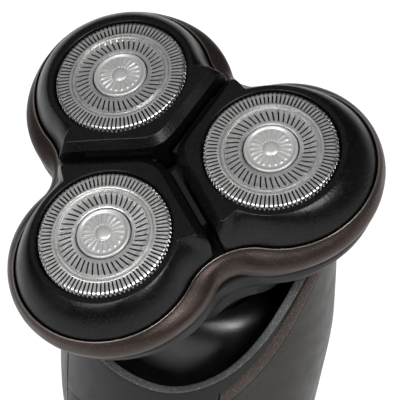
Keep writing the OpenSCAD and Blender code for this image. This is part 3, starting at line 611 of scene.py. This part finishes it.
def petal_profile(a):
    """Closed outline of the petal in direction a from its disc: inner wall, flat, slope and underside."""
    outer, gap = petal_edges(a)
    edge = min(outer, gap)
    w = 1 / (1 + (outer / gap) ** 30)
    flat = max(12.3, edge - mix(1.45, 4.3, w))
    top = disc_pt(flat, a, -0.25)[2]
    low = mix(top - 1.25, 24.12, w)
    bottom = mix(22.9, 21.3, w)

    def slope_pt(t):
        r = mix(flat, edge, mix(t, sind(SLOPE_TURN * t) / sind(SLOPE_TURN), 0.6 * w))
        return (r, mix(top, low, mix(t, (1 - cosd(SLOPE_TURN * t)) / (1 - cosd(SLOPE_TURN)), 0.6 * w)))

    def from_disc(r, z):
        return r, DISC_H - r * cosd(a) * math.sin(LEAN) + z * math.cos(LEAN)

    pts = [from_disc(11.3, -5.7), from_disc(11.3, -0.75), from_disc(11.36, -0.42), from_disc(11.5, -0.28)]
    pts += [from_disc(11.7, -0.25), from_disc(mix(11.7, flat, 0.6), -0.25)]
    pts += [slope_pt(t) for t in (0, 0.12, 0.24, 0.36, 0.48, 0.6, 0.7, 0.8, 0.9, 1.0)]
    pts += [(edge, mix(low, bottom, 0.1)), (edge, bottom), (edge - 1, bottom), (edge - 1.1, 24.5)]
    pts += [from_disc(12.2, -2.2), from_disc(12.05, -2.4), from_disc(12.05, -5.7)]
    return round_corners(pts, 0.2, 2, 0.16)


def petal_rows(n=288):
    cols = []
    for j in range(n):
        a = 360 * j / n
        cols.append([(DISC_R + r * cosd(a), r * sind(a), z) for r, z in petal_profile(a)])
    return np.array(cols).transpose(1, 0, 2)


rows = petal_rows()
for k in LOBES:
    ob = grid(f"{k}_petal_cover", lobe_row(k, rows), [M["petal"]], loop=True, sharp=40)
    put(ob, f"{k}_petal", "black_gloss", f"{k}_petal")

# ---- Band round the head ---------------------------------------------------
# Height, trefoil outline and share of the neck dip
BAND = [
    (20.1, (17.3, 17.6, 20.2), 1), (21.0, (17.3, 17.8, 20.6), 0.7), (22.2, (17.3, 17.7, 20.6), 0.3),
    (23.2, (18.2, 16.6, 19.9), 0), (24.1, (19.0, 15.4, 19.0), 0),
]
BAND_INNER = (19.0, 15.15, 18.75)
BAND_STEPS = 16


def trefoil_row(o, z, inset=0.0, share=0.0, n=360):
    row = []
    for j in range(n):
        a = 360 * j / n
        r = trefoil_r(o, a) - inset
        row.append((r * cosd(a), r * sind(a), z - share * neck_dip(a)))
    return row


def band_rows():
    rows = []
    for z in np.linspace(BAND[0][0], 24.0, BAND_STEPS):
        o = tuple(along([(s[0], s[1][q]) for s in BAND], z) for q in range(3))
        rows.append(trefoil_row(o, z, BAND_EASE, clamp(along([(s[0], s[2]) for s in BAND], z))))
    top = BAND[-1][1]
    rows += [trefoil_row(top, 24.08, 0.02), trefoil_row(top, 24.12, 0.07), trefoil_row(top, 24.13, 0.13)]
    rows += [trefoil_row(top, 24.11, 0.19), trefoil_row(top, 24.0, 0.25)]
    rows += [trefoil_row(BAND_INNER, 21.0, 0, 0.7), trefoil_row(BAND_INNER, BAND[0][0], 0, 1)]
    return rows


rows = band_rows()
marks = [0] * len(rows)
# The rows round the band's top edge take the lighter bronze: a painted highlight.
for i in range(BAND_STEPS - 1, BAND_STEPS + 4):
    marks[i] = 1
ob = grid("head_band_ring", head_row(rows), [M["band"], M["band_painted_highlight"]], loop=True, row_mats=marks, sharp=50)
put(ob, "lid", "bronze", "head_band")


# ---- Hair chamber and the bowl under it ------------------------------------
def bowl_row(z, inset, share=0.0, n=360):
    row = []
    for j in range(n):
        a = 360 * j / n
        h = z - share * neck_dip(a)
        r = bowl_r(a, h, inset)
        row.append((r * cosd(a), r * sind(a), h))
    return row


def circle_row(r, z, n=360):
    return [(r * cosd(360 * j / n), r * sind(360 * j / n), z) for j in range(n)]


BOWL_SPLIT = 16.72  # Where the hair chamber sits on the drive housing
rows = [bowl_row(BOWL_SPLIT, 0.25), bowl_row(16.78, 0.08), bowl_row(16.95, 0.0)]
rows += [bowl_row(17.5, 0, 0.2), bowl_row(18.2, 0, 0.5), bowl_row(19.0, 0, 0.9)]
rows += [bowl_row(19.6, 0, 1), bowl_row(19.85, 0.06, 1), bowl_row(19.97, 0.2, 1), bowl_row(19.97, 1.2, 1)]
rows += [bowl_row(18.8, 1.4, 0.7), bowl_row(17.5, 1.4), bowl_row(17.5, 6)]
rows += [circle_row(6, 17.5), circle_row(0.6, 17.5)]
rows += [circle_row(0.6, BOWL_SPLIT), circle_row(6, BOWL_SPLIT), bowl_row(BOWL_SPLIT, 6)]
ob = grid("hair_chamber_tray", head_row(rows), [M["chamber"]], loop=True, sharp=40)
put(ob, "head", "chamber", "hair_chamber")

rows = [circle_row(11.1, 4.9), circle_row(11.5, 4.9), bowl_row(6.4, 0.1)]
for z in (7.5, 8.5, 9.5, 10.5, 11.5, 12.5, 13.5, 14.6, 15.6, 16.2):
    rows.append(bowl_row(z, HOUSING_EASE * smooth(6.5, 9.5, z)))
rows += [bowl_row(16.5, 0.04 + HOUSING_EASE), bowl_row(16.6, 0.2 + HOUSING_EASE), bowl_row(16.6, 1.0)]
rows += [bowl_row(z, 1.1) for z in (14.8, 12.5, 10.8)] + [circle_row(12.4, 7), circle_row(11.1, 7)]
ob = grid("drive_housing_bowl", head_row(rows), [M["housing"]], loop=True, sharp=40)
put(ob, "head", "chamber", "drive_housing")


# ---- Handle ----------------------------------------------------------------
SCOOP_R = 12.2  # Hole in the middle of the scoop, round the neck


def collar_column(u_share, front):
    """One closed upright section: outer wall, rounded lip, the scoop down to its dome, and the underside."""

    def direction(z):
        e = panel_edge(z)
        return u_share * (e - 0.4) if front else mix(e + 0.4, 360 - e - 0.4, u_share)

    ur = direction(PIVOT)
    ur = direction(rim_z(ur))
    rz = rim_z(ur)
    away = smooth(38, 75, fold(ur))
    o_top = 0.0 if front else 0.9 * away
    o_low = 0.0 if front else WALL + 0.12
    low = seam_z(ur * panel_edge(SEAM) / panel_edge(PIVOT)) if front else rz - 7
    wedge = trim_z(ur) if not front else mix(low, rz, 0.6)
    tz = min(PIVOT - 12 - 7.5 * cosd(ur), rz - 3.5)
    dome = PIVOT - 5.0

    def hole(z):
        return (SCOOP_R * sind(ur), -SCOOP_R * cosd(ur), z)

    def blend(f, z):
        p, q = skin_pt(ur, z, o_top + 2.6), hole(z)
        return (mix(p[0], q[0], f), mix(p[1], q[1], f), z)

    wall = [skin_pt(direction(z), z, o_low) for z in np.linspace(low, mix(low, wedge, 0.97), 8)]
    wall.append(skin_pt(direction(wedge - 0.12), wedge - 0.12, mix(o_low, o_top, 0.5)))
    wall += [skin_pt(direction(z), z, o_top) for z in np.linspace(wedge + 0.05, rz - 0.2, 5)]
    lip_profile = [(0, 0.03), (0.13, 0.16), (0.2, 0.4), (0.22, 1.2), (0.14, 1.5), (-0.1, 1.72)]
    lip = [skin_pt(ur, rz + rise, o_top + inwards) for rise, inwards in lip_profile]
    trough = [blend(-0.03, mix(rz, tz, 0.45)), blend(0.04, mix(rz, tz, 0.82)), blend(0.13, tz)]
    # Share of the way in to the hole, and of the way up from the trough to the dome
    fold_profile = [(0.25, 0.08), (0.36, 0.33), (0.48, 0.62), (0.62, 0.82), (0.8, 0.94)]
    rise_to_dome = [blend(f, mix(tz, dome, up)) for f, up in fold_profile]
    bowl = spline([lip[-1], *trough, *rise_to_dome, hole(dome)], 34)[1:]
    under = [hole(dome - 1.6), blend(0.62, mix(tz, dome, 0.82) - 1.8)]
    under += [blend(0.4, tz - 1.3), blend(-0.1, tz - 1.3), skin_pt(direction(low), low, o_low + 1.2)]
    return [*wall, *lip, *[tuple(b) for b in bowl], *under], len(wall), len(lip)


cols = []
for s in np.linspace(-1, 1, 61):
    col, wall_n, lip_n = collar_column(s, True)
    cols.append(col)
for s in np.linspace(0, 1, 181):
    cols.append(collar_column(s, False)[0])
rows = np.array(cols).transpose(1, 0, 2)
marks = [0] * len(rows)
# The lip's rows take the light grey, a painted highlight; the scoop's rows below stay black.
for i in range(wall_n, len(rows)):
    marks[i] = 1 if i < wall_n + lip_n else 2
ob = grid(
    "scoop_collar_cover", rows, [M["collar"], M["lip"], M["scoop"]], loop=True, row_mats=marks, sharp=38,
)
put(ob, "handle", "black_gloss", "scoop_collar")


def shell_grid(inset, nu=144, nv=60):
    rows = []
    for i in range(nv + 1):
        row = []
        for j in range(nu + 1):
            z = mix(BASE_TOP, shell_top(back_u(j / nu, PIVOT)), i / nv)
            row.append(skin_pt(back_u(j / nu, z), z, inset))
        rows.append(row)
    return rows


ob = plate("rear_shell_cover", shell_grid(0), shell_grid(WALL), M["shell"])
soften(ob, 0.18)
put(ob, "handle", "shell", "rear_shell")


def trim_row(inset, f, nu=160):
    row = []
    for j in range(nu + 1):
        u = back_u(j / nu, PIVOT)
        z = mix(shell_top(u) + 0.05, trim_z(u), f)
        row.append(skin_pt(back_u(j / nu, z), z, inset))
    return row


# Share of the way up the strip, depth of its outer face, and how much thinner it is behind
TRIM_PROFILE = [
    (0, 0.02, 0), (0.04, 0.0, 0), (0.3, 0.05, 0), (0.6, 0.2, 0), (0.88, 0.48, 0.05), (1.0, 0.7, 0.1),
]
outer = [trim_row(depth, f) for f, depth, _ in TRIM_PROFILE]
inner = [trim_row(WALL - thinner, f) for f, _, thinner in TRIM_PROFILE]
ob = plate("bronze_trim_strip", outer, inner, M["stripe"])
soften(ob, 0.1)
put(ob, "handle", "bronze", "bronze_trim")


def panel_grid(inset, nu=72, nv=90):
    rows = []
    for i in range(nv + 1):
        row = []
        for j in range(nu + 1):
            s = 2 * j / nu - 1
            z = mix(BASE_TOP, seam_z(s * panel_edge(SEAM)) - 0.12, i / nv)
            row.append(skin_pt(s * (panel_edge(z) - 0.35), z, inset))
        rows.append(row)
    return rows


ob = plate("front_panel_cover", panel_grid(0), panel_grid(WALL), M["panel"])


def cut(ob, name, tool):
    mod = ob.modifiers.new(name, "BOOLEAN")
    mod.operation = "DIFFERENCE"
    mod.solver = "EXACT"
    mod.object = tool
    bpy.context.view_layer.objects.active = ob
    ob.select_set(True)
    bpy.ops.object.modifier_apply(modifier=name)
    ob.select_set(False)
    bpy.data.objects.remove(tool)


def lathe(name, profile, mats, n=96, matrix=None, sharp=35.0):
    """A closed solid turned from (radius, height) points, with small middles."""
    rows = [[(r * cosd(360 * j / n), r * sind(360 * j / n), z) for j in range(n)] for r, z in profile]
    verts = np.array(rows).reshape(-1, 3)
    return finish_mesh(name, verts, capped(len(rows), n), mats, None, sharp, matrix)


def facing_front(z):
    return Matrix.Translation((0, 0, z * MM)) @ Matrix.Rotation(math.radians(90), 4, "X")


BUTTON_HOLE = [(6.3, 13), (6.3, 25)]
cut(ob, "button_hole", lathe("tool", BUTTON_HOLE, [], matrix=facing_front(BUTTON_Z)))


def slab(name, x0, x1, y0, y1, z0, z1, mats, r=0.8, n=8):
    """A block with rounded upright corners, seen from the front."""
    ring = []
    corners = [(x1 - r, z1 - r, 0), (x0 + r, z1 - r, 90), (x0 + r, z0 + r, 180), (x1 - r, z0 + r, 270)]
    for cx, cz, a0 in corners:
        ring += [(cx + r * cosd(a0 + 90 * q / n), cz + r * sind(a0 + 90 * q / n)) for q in range(n + 1)]
    rows = [[(x, y, z) for x, z in ring] for y in (y0, y1)]
    return finish_mesh(name, np.array(rows).reshape(-1, 3), capped(2, len(ring)), mats)


WINDOW_HALF, WINDOW_LOW, WINDOW_TOP, WINDOW_CORNER = 5, 34, 58, 1.2
WINDOW_GAP = 0.12
cut(
    ob, "window_hole",
    slab("tool", -WINDOW_HALF, WINDOW_HALF, -25, -13, WINDOW_LOW, WINDOW_TOP, [], WINDOW_CORNER),
)
soften(ob, 0.15)
put(ob, "handle", "panel", "front_panel")


def window_face(inset, nu=24, nv=40):
    """A round-cornered patch of the panel's own surface."""
    z0, z1, half = WINDOW_LOW + WINDOW_GAP, WINDOW_TOP - WINDOW_GAP, WINDOW_HALF - WINDOW_GAP
    r = WINDOW_CORNER
    rows = []
    for i in range(nv + 1):
        z = mix(z0, z1, i / nv)
        d = min(z - z0, z1 - z)
        w = half - (r - math.sqrt(max(0, r**2 - (r - d) ** 2)) if d < r else 0)
        half_x = along(X_STATIONS, z) - inset
        turns = [math.degrees(math.asin(mix(-w, w, j / nu) / half_x)) for j in range(nu + 1)]
        rows.append([skin_pt(u, z, inset) for u in turns])
    return rows


ob = plate("display_window_lens", window_face(0.03), window_face(1.15), M["window"])
soften(ob, 0.12)
put(ob, "handle", "window", "display_window")

# A dished face with a rounded edge
BUTTON_PROFILE = [
    (5.9, 18.9), (6.0, 19.0), (6.0, 21.4), (5.93, 21.7), (5.7, 21.92), (5.3, 22.06), (4.6, 22.2),
    (4.1, 22.28), (3.8, 22.26), (3.5, 22.16), (2.8, 22.04), (1.6, 21.98), (0.4, 21.96),
]
ob = lathe("power_button_cap", BUTTON_PROFILE, [M["button"]], matrix=facing_front(BUTTON_Z), sharp=40)
put(ob, "power_button", "button", "power_button")


# ---- Base cap: a shallow cup with the socket and screw openings -------------
def skin_ring(z, inset, n=180):
    return [skin_pt(-360 * j / n, z, inset) for j in range(n)]


# Height and inset: the rounded bottom edge, the outer wall, and the inside of the cup
BASE_PROFILE = [
    (0.0, 3.2), (0.0, 2.35), (0.12, 1.9), (0.5, 1.2), (1.0, 0.8), (1.6, 0.5), (2.4, 0.28), (3.4, 0.15),
    (4.6, 0.03), (5.6, 0.0), (7.7, 0.0), (7.88, 0.12), (7.88, 2.0), (4.5, 2.2), (1.8, 4.2),
]
p = np.array([skin_ring(z, inset) for z, inset in BASE_PROFILE])
ob = finish_mesh("base_cap_cup", p.reshape(-1, 3), capped(*p.shape[:2]), [M["shell"]])


def stadium(name, half_x, r, y0, z0, z1, n=24):
    ring = [(half_x + r * cosd(a), y0 + r * sind(a)) for a in np.linspace(-90, 90, n)]
    ring += [(-half_x + r * cosd(a), y0 + r * sind(a)) for a in np.linspace(90, 270, n)]
    rows = [[(x, y, z) for x, y in ring] for z in (z0, z1)]
    return finish_mesh(name, np.array(rows).reshape(-1, 3), capped(2, len(ring)), [])


SCREW_X, SCREW_Y = 12.4, -3
cut(ob, "socket_hole", stadium("tool", 1.8, 4.0, 6, -1, 12))
for i, x in enumerate((-SCREW_X, SCREW_X)):
    spot = Matrix.Translation((x * MM, SCREW_Y * MM, 0))
    cut(ob, f"screw_hole_{i}", lathe("tool", [(2.0, -1), (2.0, 1.0), (1.1, 1.0), (1.1, 4)], [], 48, spot))
soften(ob, 0.12)
put(ob, "handle", "shell", "base_cap")

# ---- CAD nodes that keep their own shape -----------------------------------
KEPT = {
    "base_screws": "steel", "charging_socket": "inner", "socket_pins": "brass", "chassis": "inner",
    "battery": "wrap", "battery_tabs": "steel", "circuit_board": "board", "tact_switch": "inner",
    "button_seal": "rubber", "motor": "steel", "motor_bracket": "steel", "motor_screws": "steel",
    "motor_shaft": "steel", "cross_pin": "steel", "neck_post": "inner", "neck_seal": "rubber",
    "gimbal_ring": "steel", "gimbal_pins": "steel", "rotor_core": "copper", "gear_carrier": "housing",
    "drive_bush": "brass", "drive_sleeve": "nylon", "sun_gear": "nylon", "lid_frame": "frame",
}
LOBE_KEPT = {
    "spindle": "nylon", "spring": "steel", "driver": "nylon", "cutter": "cutter", "retainer": "inner",
}
for k in LOBES:
    KEPT.update({f"{k}_{part}": mat for part, mat in LOBE_KEPT.items()})
for node, mat in KEPT.items():
    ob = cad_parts[node]
    ob.data.materials.clear()
    ob.data.materials.append(M[mat])
for node in ("lid_frame", "gear_carrier"):
    soften(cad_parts[node], 0.12, 2, 50)

# ---- Floor, light and camera -----------------------------------------------
FLOOR, FLOOR_Z = 3000, -0.4
floor = grid(
    "floor", [[(x, y, FLOOR_Z) for x in (-FLOOR, FLOOR)] for y in (-FLOOR, FLOOR)], [], around=False,
)
pale = bpy.data.materials.new("pale_floor")
pale.use_nodes = True
shader = pale.node_tree.nodes["Principled BSDF"]
shader.inputs["Base Color"].default_value = (0.35, 0.35, 0.35, 1)
shader.inputs["Roughness"].default_value = 0.9
shader.inputs["Specular IOR Level"].default_value = 0.0
shader.inputs["Emission Color"].default_value = (1, 1, 1, 1)
shader.inputs["Emission Strength"].default_value = 0.85
floor.data.materials.append(pale)

scene = bpy.context.scene
scene.view_settings.view_transform = "Standard"
world = bpy.data.worlds.new("studio")
scene.world = world
world.use_nodes = True
world.node_tree.nodes["Background"].inputs["Color"].default_value = (1, 1, 1, 1)
world.node_tree.nodes["Background"].inputs["Strength"].default_value = 0.03

TARGET = Vector((0, 0, 0.12))


def area_light(name, direction, distance, size, power):
    light = bpy.data.lights.new(name, "AREA")
    light.shape = "DISK"
    light.size = size
    light.energy = power
    ob = bpy.data.objects.new(name, light)
    scene.collection.objects.link(ob)
    d = Vector(direction).normalized()
    ob.location = TARGET + d * distance
    ob.rotation_mode = "QUATERNION"
    ob.rotation_quaternion = d.to_track_quat("Z", "Y")
    return ob


area_light("key_right", (0.62, -0.22, 0.75), 1.0, 0.45, 8.0)
area_light("key_front", (-0.02, -0.62, 0.79), 1.0, 0.42, 5.5)
area_light("overhead", (-0.43, 0.06, 0.90), 1.5, 1.4, 1.6)
area_light("low_left", (-0.45, -0.84, 0.30), 1.1, 0.5, 0.3)

# The camera's place in metres, and its right and forward directions
CAMERA_PLACE = (0.2006, -0.2800, 0.4747)
CAMERA_RIGHT = (0.8138, 0.5816, 0)
CAMERA_FORWARD = (-0.4108, 0.5758, -0.7070)
camera = bpy.data.cameras.new("camera")
camera.sensor_width = 36.0
camera.lens = 259.92
camera.clip_start, camera.clip_end = 0.05, 20
cam = bpy.data.objects.new("camera", camera)
scene.collection.objects.link(cam)
right = Vector(CAMERA_RIGHT).normalized()
forward = Vector(CAMERA_FORWARD).normalized()
up = right.cross(forward).normalized()
right = forward.cross(up).normalized()
turn = Matrix((right, up, -forward)).transposed()
cam.matrix_world = Matrix.Translation(CAMERA_PLACE) @ turn.to_4x4()
scene.camera = cam
